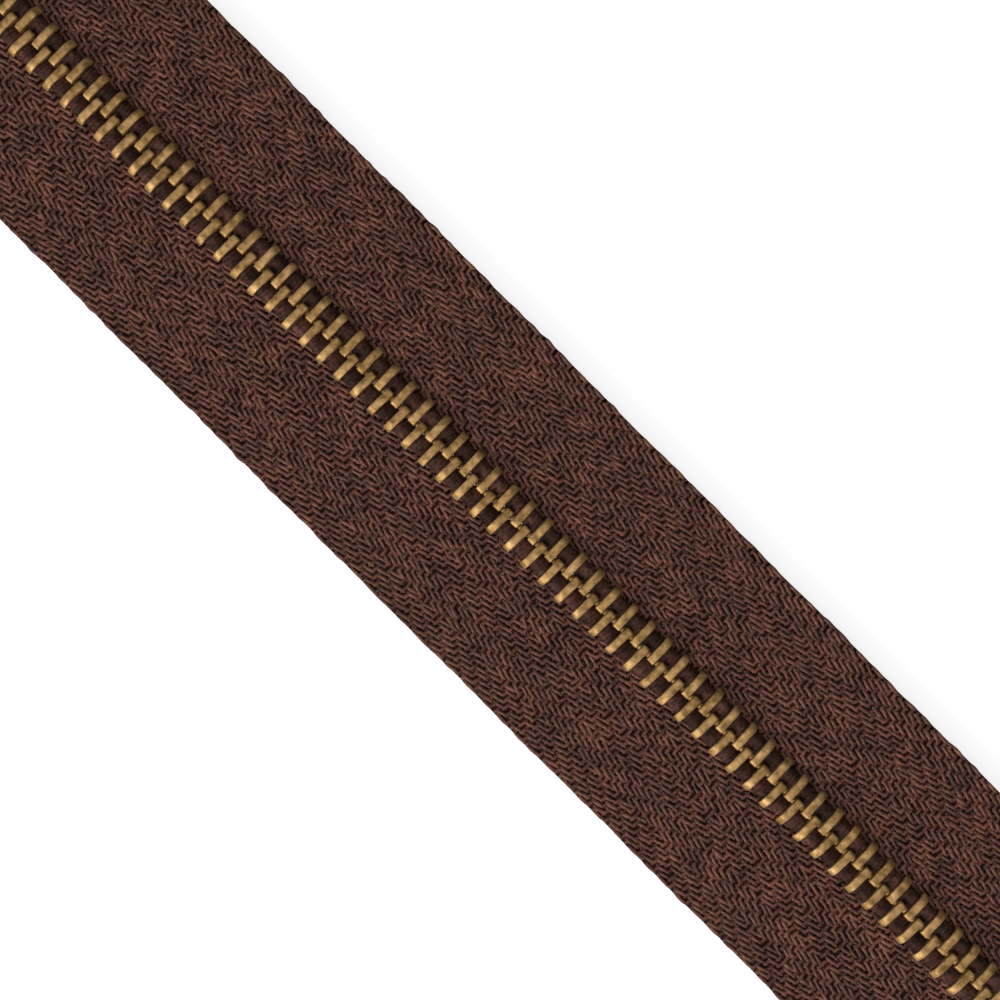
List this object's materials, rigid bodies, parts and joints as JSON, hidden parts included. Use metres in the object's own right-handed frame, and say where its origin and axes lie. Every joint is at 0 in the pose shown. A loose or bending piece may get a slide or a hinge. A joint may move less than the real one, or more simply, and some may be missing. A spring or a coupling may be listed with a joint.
{
  "type": "zipper",
  "caption": "Closed-end metal zipper: two woven tapes with clamped brass teeth, stops and an auto-lock slider with a pull tab.",
  "frame": {"origin": "middle of the zipper, on the surface it lies on, below the slider's lower plate", "axes": "+X along the chain towards the top stops, +Y towards the left tape, +Z out of the slider's face"},
  "size_m": [0.254, 0.0384, 0.008],
  "materials": {
    "tape": "woven polyester, herringbone twill",
    "bead": "woven polyester over a core",
    "teeth": "polished, slightly aged",
    "stop": "polished, slightly aged",
    "slider": "tumbled, slightly aged",
    "steel": "satin"
  },
  "bodies": {
    "foot": {"bottom_stop": "stop", "left_tape_foot": "tape", "right_tape_foot": "tape", "left_bead_cord_foot": "bead", "right_bead_cord_foot": "bead", "left_teeth_foot": "teeth", "right_teeth_foot": "teeth"},
    "left_wing": {"left_tape": "tape", "left_bead_cord": "bead", "left_teeth": "teeth", "left_top_stop": "stop"},
    "right_wing": {"right_tape": "tape", "right_bead_cord": "bead", "right_teeth": "teeth", "right_top_stop": "stop"},
    "slider": {"slider_body": "slider", "slider_cap": "slider", "lock_spring": "steel"},
    "pull": {"pull_tab": "slider"},
    "pawl": {"lock_pawl": "steel"}
  },
  "joints": [
    {"name": "slider_travel", "type": "slide", "parent": "foot", "child": "slider", "axis": [-1, 0, 0], "range_m": [0, 0.1905], "deforming": ["left_tape", "right_tape", "left_bead_cord", "right_bead_cord", "left_teeth", "right_teeth"]},
    {"name": "left_opening", "type": "hinge", "parent": "foot", "child": "left_wing", "pos_m": [-0.09981, 0, 0.00237], "axis": [0, 0, 1], "range_deg": [0, 9]},
    {"name": "right_opening", "type": "hinge", "parent": "foot", "child": "right_wing", "pos_m": [-0.09981, 0, 0.00237], "axis": [0, 0, 1], "range_deg": [-9, 0]},
    {"name": "pull_swing", "type": "hinge", "parent": "slider", "child": "pull", "pos_m": [0.09403, 0, 0.00564], "axis": [0, 1, 0], "range_deg": [0, 180]},
    {"name": "pawl_lift", "type": "hinge", "parent": "slider", "child": "pawl", "pos_m": [0.09723, 0, 0.00544], "axis": [0, 1, 0], "range_deg": [0, 5], "deforming": ["lock_spring"]}
  ],
  "couplings": [
    {"joint": "left_opening", "follows": "slider_travel", "rad_per_m": 0.82},
    {"joint": "right_opening", "follows": "slider_travel", "rad_per_m": -0.82},
    {"joint": "pawl_lift", "follows": "pull_swing", "ratio": 0.0255}
  ]
}
